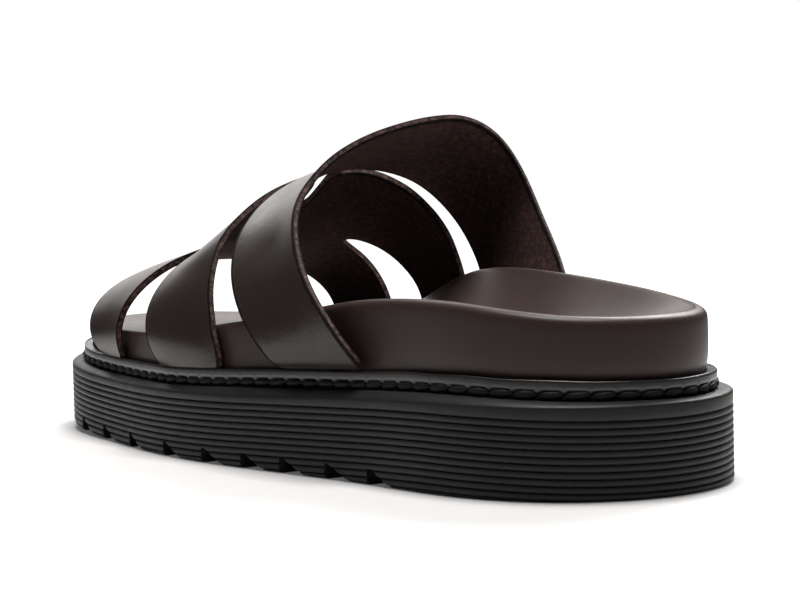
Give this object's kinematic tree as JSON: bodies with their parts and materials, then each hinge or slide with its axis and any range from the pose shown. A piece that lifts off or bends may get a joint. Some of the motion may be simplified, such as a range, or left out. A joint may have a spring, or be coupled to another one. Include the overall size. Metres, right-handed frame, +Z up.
{
  "type": "slide sandal",
  "caption": "Left open-toe slide sandal with a thick ribbed lug sole, stitched welt, moulded footbed, slit leather vamp and a wide instep strap.",
  "frame": {"origin": "middle of the sole's underside: the centre of the overall length and width, on the floor", "axes": "+Y to the toe, +Z up, -X to the outer (lateral) side of the foot, +X to the big-toe side"},
  "size_m": [0.1134, 0.2902, 0.1003],
  "materials": {
    "outsole": "satin black moulded rubber",
    "welt": "matt black",
    "footbed": "smooth dark brown leather with a soft sheen",
    "strap_leather": "smooth very dark brown leather, soft sheen"
  },
  "bodies": {
    "root": {"outsole": "outsole", "welt": "welt", "footbed": "footbed", "vamp": "strap_leather", "instep_strap": "strap_leather"}
  },
  "joints": []
}
